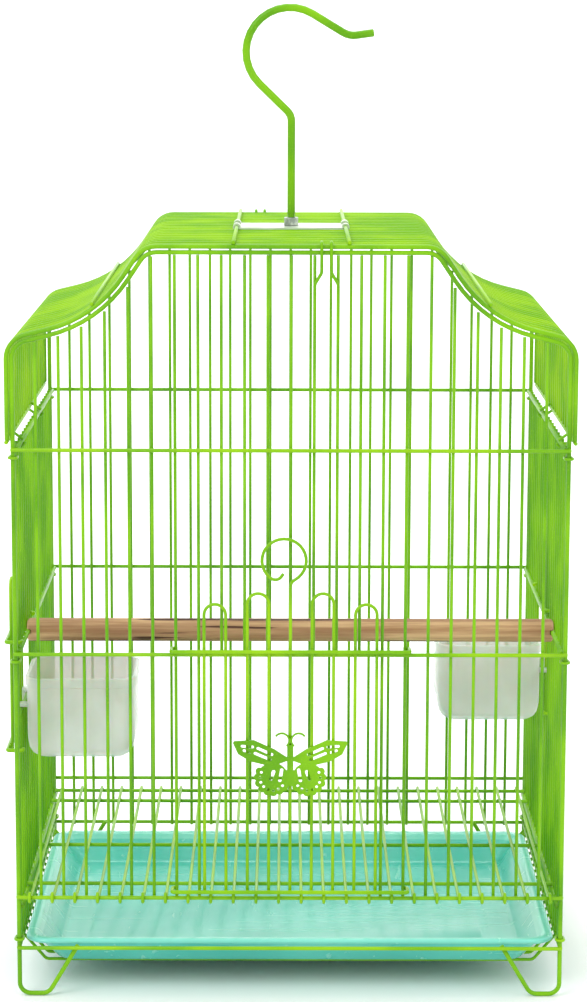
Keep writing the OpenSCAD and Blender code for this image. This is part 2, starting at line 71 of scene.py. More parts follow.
def middle(node, axis):
    low, high = cad(node)
    return (low[axis] + high[axis]) / 2


BAR, RAIL, FRAME, CLIP = 1.8, 2.2, 2.5, 1.6
SINK, SLIDE_GAP = 0.05, 0.35
ON_RAIL = (BAR + RAIL) / 2 - SINK
HALF_W = cad("front_frame")[1][0] - FRAME / 2
HALF_D = cad("back_bars")[1][1] - BAR / 2
SPACES_X, SPACES_Y = 24, 20
PX, PY = 2 * HALF_W / SPACES_X, 2 * HALF_D / SPACES_Y
FLUSH = (FRAME - BAR) / 2
PANEL_Y = HALF_D - FLUSH
Z_BASE = cad("front_rails")[0][2] + RAIL / 2
Z_TOP = cad("front_rails")[1][2] - RAIL / 2
Z_SLOT = cad("front_bars")[0][2] + RAIL / 2
Z_MID = middle("perch", 2)
SIDE_RAIL_X = HALF_W - ON_RAIL
print("half width", HALF_W, "half depth", HALF_D, "levels", Z_BASE, Z_SLOT, Z_MID, Z_TOP)

# %% [markdown]
# ## Materials
# Shader maths reads best as plain expressions, so a small class wraps a node socket and adds
# a Math node for each operator. Colours go through a Mix node instead, because a Math node
# would turn them grey.


# %% A value on its way through a material
class Value:
    def __init__(self, maker, socket):
        self.maker, self.socket = maker, socket

    def _math(self, operation, a, b):
        return self.maker.node("ShaderNodeMath", {"operation": operation}, {0: a, 1: b})

    def __add__(self, other):
        return self._math("ADD", self, other)

    def __radd__(self, other):
        return self._math("ADD", other, self)

    def __sub__(self, other):
        return self._math("SUBTRACT", self, other)

    def __rsub__(self, other):
        return self._math("SUBTRACT", other, self)

    def __mul__(self, other):
        return self._math("MULTIPLY", self, other)

    def __rmul__(self, other):
        return self._math("MULTIPLY", other, self)


# %% [markdown]
# ## One maker for every finish
# Each finish starts from a Principled shader with constants set on its own sockets. One
# method adds any other node, and `noise`, `ramp` and `blend` are short names for the nodes
# that every finish here uses.


# %% The material maker
class Finish:
    def __init__(self, name, **constants):
        self.material = bpy.data.materials.new(name)
        self.material.use_nodes = True
        self.tree = self.material.node_tree
        self.shader = self.tree.nodes["Principled BSDF"]
        for socket, value in constants.items():
            self.shader.inputs[socket.replace("_", " ")].default_value = value

    def node(self, kind, settings=None, inputs=None, output=0):
        made = self.tree.nodes.new(kind)
        for name, value in (settings or {}).items():
            if name == "stops":
                for i, (at, colour) in enumerate(value):
                    stop = (
                        made.color_ramp.elements[i]
                        if i < 2
                        else made.color_ramp.elements.new(at)
                    )
                    stop.position, stop.color = at, (*colour, 1)
            else:
                setattr(made, name, value)
        for key, value in (inputs or {}).items():
            socket = made.inputs[key]
            if isinstance(value, Value):
                self.tree.links.new(value.socket, socket)
            else:
                socket.default_value = value
        return Value(self, made.outputs[output])

    def feed(self, socket, value):
        self.tree.links.new(value.socket, self.shader.inputs[socket])

    def place(self, stretch=(1, 1, 1)):
        point = self.node("ShaderNodeTexCoord", output=3)
        return self.node(
            "ShaderNodeVectorMath", {"operation": "MULTIPLY"}, {0: point, 1: stretch}
        )

    def up(self):
        return self.node("ShaderNodeSeparateXYZ", {}, {"Vector": self.place()}, output=2)

    def noise(self, scale, detail=3.0, stretch=(1, 1, 1), rough=0.5):
        return self.node(
            "ShaderNodeTexNoise",
            {},
            {"Vector": self.place(stretch), "Scale": scale, "Detail": detail, "Roughness": rough},
        )

    def ramp(self, value, low, high):
        return self.node(
            "ShaderNodeMapRange",
            {"interpolation_type": "SMOOTHSTEP"},
            {"Value": value, "From Min": low, "From Max": high},
        )

    def blend(self, factor, a, b):
        def colour(c):
            return c if isinstance(c, Value) else (*c, 1)

        return self.node(
            "ShaderNodeMix",
            {"data_type": "RGBA"},
            {0: factor, 6: colour(a), 7: colour(b)},
            output=2,
        )

    def bump(self, height, depth, strength=1.0):
        self.feed(
            "Normal",
            self.node(
                "ShaderNodeBump",
                {},
                {"Height": height, "Distance": depth, "Strength": strength},
            ),
        )


def rgb(r, g, b):
    """A screen colour of 0 to 255 as the linear light that a shader takes."""

    def light(v):
        v /= 255
        return v / 12.92 if v < 0.04045 else ((v + 0.055) / 1.055) ** 2.4

    return (light(r), light(g), light(b))


# %% [markdown]
# ## Green coating
# The wire is dipped in a glossy coating. It is never quite even: the tone drifts along a
# wire, the skin has a fine orange peel, and it is worn through at a few small places. The
# drift is a slow noise, the peel a fine one that only bends the light, and the chips are
# where another noise is at its highest.


# %% Green coating
def coating(name, deep, bright):
    f = Finish(name, Roughness=0.3, Specular_IOR_Level=0.22, Coat_Weight=0.08)
    drift = f.ramp(f.noise(22, 2), 0.35, 0.65)
    speckle = f.ramp(f.noise(900, 2), 0.55, 0.75)
    chips = f.ramp(f.noise(420, 4, rough=0.65), 0.735, 0.76)
    tone = f.blend(drift, deep, bright)
    tone = f.blend(speckle * 0.2, tone, rgb(178, 216, 40))
    f.feed("Base Color", f.blend(chips, tone, rgb(120, 112, 92)))
    f.feed("Roughness", 0.3 + drift * 0.12 + chips * 0.35)
    f.bump(f.noise(1500, 2) - chips * 0.8, 0.00008, 0.35)
    return f.material


GREEN = coating("green_coating", rgb(92, 158, 0), rgb(124, 186, 2))
# A lighter copy of the same coating is painted light: a painted highlight for the wires that face
# the lamps, such as the roof, the front rails, the doors and the grille.
PAINTED_LIT_GREEN = coating("bright_green_coating", rgb(112, 174, 0), rgb(144, 196, 2))
print("coatings made")

# %% [markdown]
# ## Plastics
# The tray is glossy teal with rubbed streaks where it slides, and its scuffs are paler and
# duller. Its top rim is painted a little paler, a painted highlight where it faces the light.
# The cups are milky and let some light through, so they are partly see-through with a little
# subsurface light, both constant, and only colour and roughness vary.


# %% Tray and cup plastics
def tray_plastic():
    f = Finish("tray_plastic", Roughness=0.3, Coat_Weight=0.35, Coat_Roughness=0.15)
    cloud = f.ramp(f.noise(14, 3), 0.3, 0.7)
    streaks = f.ramp(f.noise(60, 3, (0.12, 2.0, 1.0)), 0.56, 0.8)
    scuffs = f.ramp(f.noise(160, 5, (1.0, 0.15, 1.0), 0.6), 0.64, 0.74)
    top = cad("tray")[1][2]
    # The top of the rim is painted paler: a painted highlight where the rim faces the lamps.
    painted_rim_highlight = f.ramp(f.up(), (top - 3.8) * MM, (top - 2.8) * MM)
    tone = f.blend(cloud, rgb(58, 186, 170), rgb(86, 204, 188))
    tone = f.blend(streaks * 0.35, tone, rgb(140, 222, 206))
    tone = f.blend(painted_rim_highlight * 0.7, tone, rgb(136, 224, 208))
    f.feed("Base Color", f.blend(scuffs * 0.5, tone, rgb(176, 228, 214)))
    f.feed("Roughness", 0.26 + scuffs * 0.3 + streaks * 0.12)
    f.bump(f.noise(700, 2) - scuffs * 0.5, 0.00006, 0.3)
    return f.material


def cup_plastic():
    f = Finish(
        "cup_plastic",
        Roughness=0.35,
        Alpha=0.62,
        Subsurface_Weight=0.3,
        Subsurface_Scale=0.01,
        Coat_Weight=0.3,
    )
    cloud = f.ramp(f.noise(30, 3), 0.3, 0.7)
    film = f.ramp(f.noise(90, 4, (1, 1, 0.3)), 0.55, 0.8)
    tone = f.blend(cloud, rgb(198, 210, 198), rgb(218, 226, 218))
    f.feed("Base Color", f.blend(film * 0.5, tone, rgb(186, 198, 176)))
    f.feed("Roughness", 0.28 + film * 0.25)
    f.bump(f.noise(500, 2), 0.00006, 0.25)
    return f.material


TEAL, MILKY = tray_plastic(), cup_plastic()
print("plastics made")

# %% [markdown]
# ## Wood and metals
# The perch is a plain dowel, so its grain is noise stretched along X, with a few long dark
# cracks. The plate is rolled sheet with brush marks, and the nuts are zinc, which has a dull
# spangle.


# %% Wood and metals
def perch_wood():
    f = Finish("perch_wood", Roughness=0.62)
    grain = f.ramp(f.noise(260, 6, (0.04, 1, 1), 0.6), 0.36, 0.64)
    bands = f.ramp(f.noise(120, 3, (0.07, 1, 1)), 0.4, 0.62)
    crack = f.ramp(f.noise(150, 2, (0.05, 1, 1), 0.4), 0.63, 0.65)
    tone = f.blend(grain, rgb(160, 116, 76), rgb(208, 170, 126))
    tone = f.blend(bands * 0.55, tone, rgb(134, 92, 62))
    f.feed("Base Color", f.blend(crack, tone, rgb(74, 38, 20)))
    f.feed("Roughness", 0.55 + grain * 0.2)
    f.bump(grain - crack * 1.6, 0.0003, 0.6)
    return f.material


def plate_metal():
    f = Finish("plate_metal", Metallic=0.85, Roughness=0.35)
    brush = f.ramp(f.noise(900, 3, (0.05, 1, 1)), 0.3, 0.7)
    smear = f.ramp(f.noise(60, 3), 0.4, 0.7)
    tone = f.blend(brush, rgb(196, 208, 190), rgb(226, 234, 220))
    f.feed("Base Color", f.blend(smear * 0.4, tone, rgb(172, 190, 150)))
    f.feed("Roughness", 0.26 + brush * 0.16 + smear * 0.1)
    f.bump(brush, 0.00004, 0.3)
    return f.material


def nut_zinc():
    f = Finish("nut_zinc", Metallic=0.9, Roughness=0.4)
    spangle = f.ramp(f.noise(420, 2), 0.35, 0.65)
    dirt = f.ramp(f.noise(150, 4), 0.5, 0.75)
    tone = f.blend(spangle, rgb(148, 156, 150), rgb(192, 198, 190))
    f.feed("Base Color", f.blend(dirt * 0.5, tone, rgb(108, 120, 84)))
    f.feed("Roughness", 0.32 + dirt * 0.3)
    f.bump(spangle, 0.00004, 0.3)
    return f.material


WOOD, PLATE, ZINC = perch_wood(), plate_metal(), nut_zinc()
print("wood and metals made")

# %% [markdown]
# ## From a bmesh to a piece
# Every piece is finished in the same way: normals outwards, smooth faces, its material, the
# CAD body it moves with, and the CAD nodes it stands for.


# %% Finishing a piece
BODY_OF = {
    n: body for body, nodes in frame["record"]["behaviour"]["bodies"].items() for n in nodes
}


def piece(name, bm, material, stands_for=(), body=None, sharp=40):
    bmesh.ops.recalc_face_normals(bm, faces=bm.faces)
    mesh = bpy.data.meshes.new(name)
    bm.to_mesh(mesh)
    bm.free()
    mesh.shade_smooth()
    mesh.set_sharp_from_angle(angle=math.radians(sharp))
    mesh.materials.append(material)
    made = bpy.data.objects.new(name, mesh)
    bpy.context.scene.collection.objects.link(made)
    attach(made, body or BODY_OF[stands_for[0]])
    if stands_for:
        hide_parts(*stands_for)
    print(name, len(mesh.polygons), "faces")
    return made


# %% [markdown]
# ## Forming wire
# A forming machine feeds wire straight, then bends it round a pin, and repeats. The same
# list of [straight, pin radius, turn] drives the model: a circle is extruded for a straight
# and spun for a bend. A spin keeps the section round and square to the wire, which a curve
# with handles wouldn't. The cut ends are closed and slightly rounded.

# %% Directions of the planes a wire is bent in
FLAT = {
    "xz": (Vector((1, 0, 0)), Vector((0, 0, 1)), Vector((0, 1, 0))),
    "yz": (Vector((0, 1, 0)), Vector((0, 0, 1)), Vector((1, 0, 0))),
    "xy": (Vector((1, 0, 0)), Vector((0, 1, 0)), Vector((0, 0, 1))),
}


# %% Helpers that grow a wire from its last ring of edges
def ring_edges(geometry):
    verts = {g for g in geometry if isinstance(g, bmesh.types.BMVert)}
    return [
        g
        for g in geometry
        if isinstance(g, bmesh.types.BMEdge) and all(v in verts for v in g.verts)
    ]


def grow(bm, edges, move, scale=1.0, centre=None):
    out = bmesh.ops.extrude_edge_only(bm, edges=edges)["geom"]
    verts = [g for g in out if isinstance(g, bmesh.types.BMVert)]
    bmesh.ops.translate(bm, verts=verts, vec=move)
    if scale != 1.0:
        bmesh.ops.scale(
            bm, verts=verts, vec=(scale,) * 3, space=Matrix.Translation(-(centre + move))
        )
    return ring_edges(out)


# %% Form one wire
def form(bm, plane, level, steps, start, d, sides=12):
    """Wire bent in a plane at a level, from start [u, v, heading]. All in mm and degrees."""
    u, v, w = FLAT[plane]
    axis = u.cross(v)
    heading = math.radians(start[2])
    at = (u * start[0] + v * start[1] + w * level) * MM
    along = u * math.cos(heading) + v * math.sin(heading)
    r = d / 2 * MM
    ends = r * 0.25
    turned = along.to_track_quat("Z", "Y").to_matrix().to_4x4()
    ring = bmesh.ops.create_circle(
        bm,
        cap_ends=True,
        segments=sides,
        radius=r * 0.8,
        matrix=Matrix.Translation(at) @ turned,
    )["verts"]
    edges = list({e for vert in ring for e in vert.link_edges})
    edges = grow(bm, edges, along * ends, 1.25, at)
    at = at + along * ends
    for i, (length, radius, turn) in enumerate(steps):
        last = i == len(steps) - 1
        run = length * MM - (ends if i == 0 else 0) - (ends if last and turn == 0 else 0)
        if run > 1e-6:
            edges = grow(bm, edges, along * run)
            at = at + along * run
        if turn:
            side = 1 if turn > 0 else -1
            centre = at + axis.cross(along) * side * radius * MM
            verts = list({vert for e in edges for vert in e.verts})
            out = bmesh.ops.spin(
                bm,
                geom=verts + edges,
                cent=centre,
                axis=axis,
                angle=math.radians(turn),
                steps=max(2, math.ceil(abs(turn) / (6 if radius > 30 else 12))),
            )["geom_last"]
            edges = ring_edges(out)
            rotation = Matrix.Rotation(math.radians(turn), 3, axis)
            at = centre + rotation @ (at - centre)
            along = rotation @ along
    edges = grow(bm, edges, along * ends, 0.8, at)
    bmesh.ops.edgeloop_fill(bm, edges=edges)


# %% [markdown]
# ## Wires through corner points
# Most wires on the cage are easier to describe by the corners they would have if they were
# not bent round a pin. Each corner has a bend radius, and the straights are shortened by the
# setback that the bend takes up.


# %% Steps for a wire through corners
def heading_of(a, b):
    return math.degrees(math.atan2(b[1] - a[1], b[0] - a[0]))


def through(bm, plane, level, points, d, sides=12):
    turns = [0.0]
    for a, b, c in zip(points, points[1:], points[2:]):
        turns.append((heading_of(b, c) - heading_of(a, b) + 180) % 360 - 180)
    turns.append(0.0)
    back = [p[2] * math.tan(math.radians(abs(t) / 2)) for p, t in zip(points, turns)]
    steps = [
        (math.dist(a[:2], b[:2]) - back[i] - back[i + 1], b[2], turns[i + 1])
        for i, (a, b) in enumerate(zip(points, points[1:]))
    ]
    start = (points[0][0], points[0][1], heading_of(points[0], points[1]))
    form(bm, plane, level, steps, start, d, sides)


def straight(bm, plane, level, a, b, d, sides=12):
    through(bm, plane, level, [(*a, 0), (*b, 0)], d, sides)


# %% [markdown]
# ## The shaped outline
# Panels and roof share one outline: a flat top, a steep slope, a gentle shoulder and upright
# sides. The roof's wires follow the same line moved outwards, so the outline is a function of
# that offset, as it is in the CAD model.

# %% The outline and its height above a point
frame_top = cad("front_frame")[1][2] - FRAME / 2
TOP_HALF, NECK_HALF = 77.5, 103.0
NECK_DROP, SHOULDER_DROP = 38.0, 11.5
END_BEND, NECK_BEND = 10, 72
NECK_Z = frame_top - NECK_DROP
SHOULDER_Z = NECK_Z - SHOULDER_DROP
STEEP = math.atan2(NECK_DROP, NECK_HALF - TOP_HALF)
GENTLE = math.atan2(SHOULDER_DROP, HALF_W - NECK_HALF)


def outline(e):
    k = e / (1 + math.cos(STEEP - GENTLE))
    return [
        (TOP_HALF + e * math.tan(STEEP / 2), frame_top + e, END_BEND + e),
        (
            NECK_HALF + k * (math.sin(GENTLE) + math.sin(STEEP)),
            NECK_Z + k * (math.cos(GENTLE) + math.cos(STEEP)),
            NECK_BEND - e,
        ),
        (
            HALF_W + e,
            SHOULDER_Z + e * (1 - math.sin(GENTLE)) / math.cos(GENTLE),
            END_BEND + e,
        ),
    ]


def mirrored(points):
    return [(-x, z, r) for x, z, r in reversed(points)]


def arch(e):
    return mirrored(outline(e)) + outline(e)


def height(x, e):
    top, neck = outline(e)[:2]
    cut = neck[2] * math.tan((STEEP - GENTLE) / 2)
    low_x, high_x = neck[0] + cut * math.cos(GENTLE), neck[0] - cut * math.cos(STEEP)
    cx = low_x + neck[2] * math.sin(GENTLE)
    cz = neck[1] - cut * math.sin(GENTLE) + neck[2] * math.cos(GENTLE)
    cut = top[2] * math.tan(STEEP / 2)
    start = top[0] - cut
    if x <= start:
        return top[1]
    if x <= top[0] + cut * math.cos(STEEP):
        return top[1] - top[2] + math.sqrt(top[2] ** 2 - (x - start) ** 2)
    if x <= high_x:
        return top[1] - (x - top[0]) * math.tan(STEEP)
    if x <= low_x:
        return cz - math.sqrt(neck[2] ** 2 - (x - cx) ** 2)
    return neck[1] - (x - neck[0]) * math.tan(GENTLE)


print("outline", [[round(v, 1) for v in p] for p in outline(0)])

# %% [markdown]
# ## Coating gathered at the welds
# Where two wires are welded, the dip coating pools into a soft collar that hides the weld. A
# squashed ball with a few dozen faces at each crossing gives that look for hundreds of
# joints at little cost.


# %% Collars at crossings
def collars(bm, places, across, size=(1.35, 1.35, 0.95)):
    """Balls at places in mm; `across` is the axis from one wire to the other."""
    reach = {"x": (2, 1, 0), "y": (0, 2, 1), "z": (0, 1, 2)}[across]
    radii = [size[i] * MM for i in reach]
    for place in places:
        matrix = Matrix.Translation(Vector(place) * MM) @ Matrix.Diagonal((*radii, 1))
        bmesh.ops.create_uvsphere(bm, u_segments=8, v_segments=5, radius=1, matrix=matrix)


# %% [markdown]
# ## Front and back frames
# One long wire makes a foot, a corner post, the shaped top, and the other post and foot. A
# foot's free end comes up between two bars.


# %% Frames
FOOT_W, FOOT_BEND = 16, 6


def panel_frame(node, side):
    foot = [
        (-HALF_W + 2.6 * PX, Z_BASE + 1, 0),
        (-HALF_W + FOOT_W, FRAME / 2, FOOT_BEND),
        (-HALF_W, FRAME / 2, FOOT_BEND),
    ]
    bm = bmesh.new()
    through(bm, "xz", side * PANEL_Y, foot + arch(0) + mirrored(foot), FRAME, 16)
    return piece("shown_" + node, bm, GREEN, (node,))


panel_frame("front_frame", -1)
panel_frame("back_frame", 1)

# %% [markdown]
# ## Front and back panels
# Bars stand behind the rails and run up to the frame. The front panel leaves out the bars in
# the door's opening below the middle rail. Rails are a little thicker than bars, and lie on
# the outside, where they stiffen the panel.

# %% Bars and rails of a panel
LEVELS = (Z_BASE, Z_SLOT, Z_MID, Z_TOP)


def bar_top(x):
    inner = height(abs(x) - BAR / 2, -FRAME / 2)
    outer = height(abs(x) + BAR / 2, -FRAME / 2)
    return height(abs(x), -FRAME / 2) - (inner - outer) / 2 - 0.1


def panel(side, name, low, door_low, rail_material):
    bars, rails = bmesh.new(), bmesh.new()
    welds = []
    for i in range(1, SPACES_X):
        x = (i - SPACES_X / 2) * PX
        foot = door_low if abs(x) < 3.5 * PX else low
        straight(bars, "xz", side * HALF_D, (x, foot - RAIL / 2), (x, bar_top(x)), BAR)
        between = side * (HALF_D + ON_RAIL / 2)
        welds += [(x, between, z) for z in LEVELS if z >= foot]
    rail_y = side * (HALF_D + ON_RAIL)
    for z in LEVELS:
        straight(rails, "xz", rail_y, (-HALF_W - 1, z), (HALF_W + 1, z), RAIL)
        welds += [(s * HALF_W, side * (PANEL_Y + 1.2), z) for s in (-1, 1)]
    collars(rails, welds, "y")
    piece(f"shown_{name}_bars", bars, GREEN, (f"{name}_bars",))
    piece(f"shown_{name}_rails", rails, rail_material, (f"{name}_rails",))


# The front rails get the lighter copy of the coating, a painted highlight where they face the
# lamps; the back rails get the plain one.
panel(-1, "front", Z_SLOT, Z_MID, PAINTED_LIT_GREEN)
panel(1, "back", Z_BASE, Z_BASE, GREEN)

# %% [markdown]
# ## Side panels
# The side bars stand on the bottom rail. The feeder opening is six spaces wide: its bars are
# cut between a short sill and the middle rail. A ledge rail inside carries the floor grille.

# %% Side panels
FEEDER_SPACES, FEEDER_HIGH = 6, 38.0
GRILLE_CURL = (RAIL + BAR) / 2 + SLIDE_GAP
SILL_Z = Z_MID - FEEDER_HIGH
LEDGE_Z = Z_SLOT - GRILLE_CURL - ON_RAIL - RAIL - 0.3
POST_Y = PANEL_Y - FRAME / 2 - RAIL / 2 - 1.3
FEEDER_HALF = FEEDER_SPACES / 2 * PY
OPENING_START = {-1: 1, 1: 8}


def feeder_y(side):
    return -HALF_D + (OPENING_START[side] + FEEDER_SPACES / 2) * PY


def side_panel(side, name):
    bars, rails = bmesh.new(), bmesh.new()
    x, inner = side * HALF_W, side * SIDE_RAIL_X
    welds = []
    for i in range(1, SPACES_Y):
        y = -HALF_D + i * PY
        low, high = Z_BASE + RAIL / 2 - SINK, Z_TOP + RAIL / 2
        start = OPENING_START[side]
        spans = [(low, high)]
        if start < i < start + FEEDER_SPACES:
            spans = [(low, SILL_Z - BAR / 2 + SINK), (Z_MID - RAIL / 2, high)]
        for a, b in spans:
            straight(bars, "yz", x, (y, a), (y, b), BAR)
        welds += [(side * (HALF_W - ON_RAIL / 2), y, z) for z in (LEDGE_Z, Z_MID, Z_TOP)]
    end = POST_Y + 1
    for z in (LEDGE_Z, Z_MID, Z_TOP):
        straight(rails, "yz", inner, (-end, z), (end, z), RAIL)
    face = PANEL_Y - FRAME / 2 + SINK
    straight(rails, "yz", x, (-face, Z_BASE), (face, Z_BASE), RAIL)
    reach = FEEDER_HALF - BAR / 2 + SINK
    middle_y = feeder_y(side)
    straight(rails, "yz", x, (middle_y - reach, SILL_Z), (middle_y + reach, SILL_Z), BAR)
    for y in (-POST_Y, POST_Y):
        straight(bars, "yz", x, (y, Z_BASE + RAIL / 2 - SINK), (y, Z_TOP + RAIL / 2), RAIL)
    collars(rails, welds, "x")
    piece(f"shown_{name}_side_bars", bars, GREEN, (f"{name}_side_bars",))
    piece(f"shown_{name}_side_rails", rails, GREEN, (f"{name}_side_rails",))


side_panel(-1, "left")
side_panel(1, "right")

# %% [markdown]
# ## Wires under the tray
# These wires hang in a shallow dish below the bottom rails and carry the tray. Each one is
# aimed at the rail's centre line, so that its cut end meets the rail squarely.

# %% Base wires
TRAY_SLOPE = 13
tray_low, tray_high = cad("tray")
low_z = cad("base_wires")[0][2] + BAR / 2
flat_x = tray_high[0] - TRAY_SLOPE + 3
aim = Vector((HALF_W - flat_x, Z_BASE - low_z)).normalized() * (RAIL / 2 - SINK)
bm = bmesh.new()
for i in range(2, SPACES_Y):
    dish = [(flat_x, low_z, 4), (HALF_W - aim.x, Z_BASE - aim.y, 0)]
    through(bm, "xz", -HALF_D + i * PY, mirrored(dish) + dish, BAR)
piece("shown_base_wires", bm, GREEN, ("base_wires",))

# %% [markdown]
# ## The roof
# The roof is a separate lid: bars bent to the outline run over the top and down both sides,
# with a thicker frame wire at the front and the back and cross wires welded on the outside.
# It sits just clear of the panels it covers.

# %% Roof
ROOF_E = FRAME + 0.6
ROOF_BAR_E = ROOF_E + FLUSH
SKIRT_Z = cad("roof_cross_wires")[0][2] + RAIL / 2


def roof_wire(bm, y, e, d, sides=12):
    x, z = outline(e)[2][0], SKIRT_Z + RAIL / 2 - SINK
    through(bm, "xz", y, [(-x, z, 0)] + arch(e) + [(x, z, 0)], d, sides)


bm = bmesh.new()
for y in (-PANEL_Y, PANEL_Y):
    roof_wire(bm, y, ROOF_E, FRAME, 16)
piece("shown_roof_frame", bm, GREEN, ("roof_frame",))

roof_ys = [-HALF_D + (i + 0.5) * PY for i in range(SPACES_Y)]
bm = bmesh.new()
for y in roof_ys:
    roof_wire(bm, y, ROOF_BAR_E, BAR)
# The roof bars get the lighter copy of the coating, a painted highlight on the top that faces the
# lamps.
piece("shown_roof_bars", bm, PAINTED_LIT_GREEN, ("roof_bars",))

# %% Cross wires on the roof
TOP_WIRE_X = 31.0
p = outline(ROOF_BAR_E)
lean = (STEEP + GENTLE) / 2
shoulder_x = p[1][0] + 0.6
LINES = [
    (TOP_WIRE_X, p[0][1] + ON_RAIL),
    (
        shoulder_x + ON_RAIL * math.sin(lean),
        height(shoulder_x, ROOF_BAR_E) + ON_RAIL * math.cos(lean),
    ),
    (p[2][0], SKIRT_Z),
]
bm = bmesh.new()
for side in (-1, 1):
    for x, z in LINES:
        end = PANEL_Y + FRAME / 2
        straight(bm, "yz", side * x, (-end, z), (end, z), RAIL)
    collars(bm, [(side * TOP_WIRE_X, y, LINES[0][1] - ON_RAIL / 2) for y in roof_ys], "z")
piece("shown_roof_cross_wires", bm, PAINTED_LIT_GREEN, ("roof_cross_wires",))

# %% [markdown]
# ## Clips and latches
# Open rings squeezed round two wires hold the panels together at the corners and hinge the
# roof. The latches are two wires that rise side by side and hook over the roof's frame.

# %% Corner rings
ring_r = FRAME / 2 + CLIP / 2 + 0.05
bm = bmesh.new()
for sx in (-1, 1):
    for sy in (-1, 1):
        for z in (Z_BASE + 4.5, Z_MID - 4.5, Z_TOP - 4.5):
            one = bmesh.new()
            steps = [(PANEL_Y - POST_Y, ring_r, 180), (PANEL_Y - POST_Y, ring_r, 150)]
            form(one, "xy", z, steps, (HALF_W + ring_r, POST_Y, 90), CLIP, 10)
            one.transform(Matrix.Diagonal((sx, sy, 1, 1)))
            holder = bpy.data.meshes.new("ring")
            one.to_mesh(holder)
            one.free()
            bm.from_mesh(holder)
            bpy.data.meshes.remove(holder)
piece("shown_corner_clips", bm, PAINTED_LIT_GREEN, ("corner_clips",))

# %% [markdown]
# ## The front door
# The door's own bars stand in front of the panel and its two rails curl round the panel's
# guide bars, so the door can only slide up and down. Pairs of bars are one wire bent into an
# upside-down U, and the middle bar ends in a ring to lift it by.


# %% A rail that curls round the guide bars
def guide_rail(bm, z, guide, rail_y, bar_y):
    bend, reach = RAIL / 2 + SLIDE_GAP, BAR / 2 + SLIDE_GAP + RAIL / 2
    half = [
        (guide + reach, rail_y, bend),
        (guide + reach, bar_y + reach, bend),
        (guide - BAR / 2, bar_y + reach, 0),
    ]
    through(bm, "xy", z, mirrored(half) + half, RAIL, 16)


def u_bar(bm, y, x1, x2, low, high):
    r = (x2 - x1) / 2
    run = high - r - low
    form(bm, "xz", y, [(run, r, -180), (run, 0, 0)], (x1, low, 90), BAR)


# %% Front door wires
DOOR_Y = -HALF_D - ON_RAIL - RAIL / 2 - SLIDE_GAP - BAR / 2
door_low, door_high = (v[2] for v in cad("front_door_rails"))
door_levels = (door_low + RAIL / 2, door_high - RAIL / 2)
DOOR_PITCH = 11.75
INNER_RISE, OUTER_RISE, RING_RISE, RING_R = 32, 26, 48, 12
bm = bmesh.new()
for z in door_levels:
    guide_rail(bm, z, 5 * PX, DOOR_Y - ON_RAIL, -HALF_D)
places = [(k * DOOR_PITCH, DOOR_Y - ON_RAIL / 2, z) for k in range(-4, 5) for z in door_levels]
collars(bm, places, "y")
piece("shown_front_door_rails", bm, PAINTED_LIT_GREEN, ("front_door_rails",))

bm = bmesh.new()
for side in (-1, 1):
    for k, rise in ((1, INNER_RISE), (3, OUTER_RISE)):
        a, b = sorted((side * k * DOOR_PITCH, side * (k + 1) * DOOR_PITCH))
        u_bar(bm, DOOR_Y, a, b, door_low, door_levels[1] + rise)
piece("shown_front_door_bars", bm, PAINTED_LIT_GREEN, ("front_door_bars",))

bm = bmesh.new()
run = door_levels[1] + RING_RISE - RING_R - door_low
ring_steps = [(run, 4, -60), (0.5, RING_R, 290), (0.5, 4, 95), (2, 0, 0)]
form(bm, "xz", DOOR_Y, ring_steps, (0, door_low, 90), BAR, 16)
piece("shown_front_door_handle", bm, PAINTED_LIT_GREEN, ("front_door_handle",))

# %% [markdown]
# ## Feeder doors
# The feeder doors work like the front door, turned to face the sides. They are drawn facing
# front and then turned, because a wire former only knows its own flat table.


# %% Feeder doors
def feeder_door(side, name):
    turn = Matrix.Translation(Vector((side * HALF_W, feeder_y(side), 0)) * MM) @ Matrix.Rotation(
        math.radians(side * 90), 4, "Z"
    )
    bars_y = -(abs(middle(f"{name}_feeder_door_bars", 0)) - HALF_W)
    low, high = (v[2] for v in cad(f"{name}_feeder_door_rails"))
    levels = (low + RAIL / 2, high - RAIL / 2)
    step = (2 * FEEDER_HALF - 13) / 5
    rails, bars = bmesh.new(), bmesh.new()
    for z in levels:
        guide_rail(rails, z, FEEDER_HALF, bars_y - ON_RAIL, 0)
    places = [(k * step / 2, bars_y - ON_RAIL / 2, z) for k in range(-5, 6, 2) for z in levels]
    collars(rails, places, "y")
    for i in (-1, 0, 1):
        top = levels[1] + 40 - abs(i) * 7
        u_bar(bars, bars_y, (2 * i - 0.5) * step, (2 * i + 0.5) * step, low, top)
    rails.transform(turn)
    bars.transform(turn)
    piece(f"shown_{name}_door_rails", rails, PAINTED_LIT_GREEN, (f"{name}_feeder_door_rails",))
    piece(f"shown_{name}_door_bars", bars, PAINTED_LIT_GREEN, (f"{name}_feeder_door_bars",))


feeder_door(-1, "left")
feeder_door(1, "right")

# %% [markdown]
# ## The floor grille
# Long wires run from the back to the front, where each one curls round the front rail. Four
# cross wires under them rest on the side panels' ledge.

# %% Floor grille
back_y = cad("floor_grille_wires")[1][1]
front_y = -HALF_D - ON_RAIL
bm = bmesh.new()
for i in range(SPACES_X):
    x = (i + 0.5 - SPACES_X / 2) * PX
    steps = [(back_y - front_y, GRILLE_CURL, -215)]
    form(bm, "yz", x, steps, (back_y, Z_SLOT - GRILLE_CURL, 180), BAR)
piece("shown_floor_grille_wires", bm, PAINTED_LIT_GREEN, ("floor_grille_wires",))

